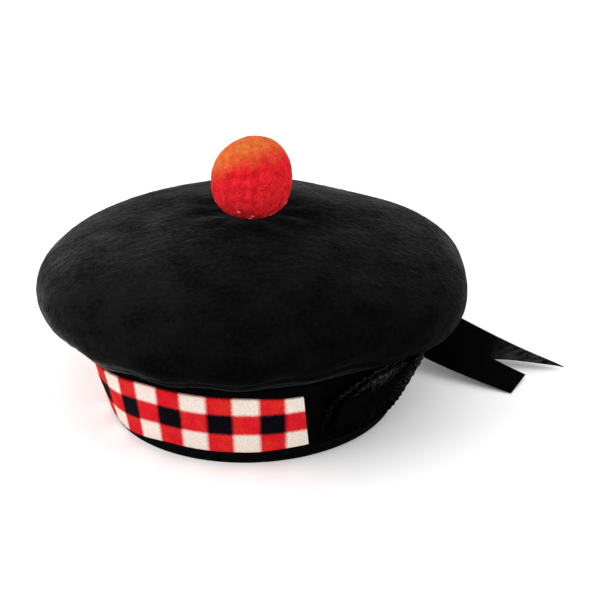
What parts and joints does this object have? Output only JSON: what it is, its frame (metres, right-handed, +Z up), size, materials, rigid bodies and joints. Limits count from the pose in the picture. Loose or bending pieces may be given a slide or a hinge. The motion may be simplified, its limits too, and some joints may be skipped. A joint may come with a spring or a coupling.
{
  "type": "balmoral bonnet",
  "caption": "Round felt bonnet with a wide soft crown, a diced headband, a wool pompom on top, a ruffled silk cockade on its left and ribbon tails behind.",
  "frame": {"origin": "middle of the head opening, in the plane of the lower rim that the bonnet rests on", "axes": "+X to the wearer's left, +Y to the back of the head, where the ribbon tails are, +Z up through the pompom"},
  "size_m": [0.2637, 0.3432, 0.1788],
  "materials": {
    "crown_felt": "black milled wool felt with a short nap",
    "headband_wool": "black knitted wool",
    "diced_wool": "knitted wool checks in red, white and near black",
    "binding_tape": "black ribbed tape",
    "cockade_silk": "black ribbed silk",
    "toorie_wool": "scarlet wool in felted locks",
    "tail_ribbon": "black grosgrain ribbon"
  },
  "bodies": {
    "root": {"crown": "crown_felt", "headband": "headband_wool", "dicing_band": "diced_wool", "binding": "binding_tape", "cockade": "cockade_silk", "toorie": "toorie_wool", "ribbon_front": "tail_ribbon", "ribbon_rear": "tail_ribbon"}
  },
  "joints": []
}
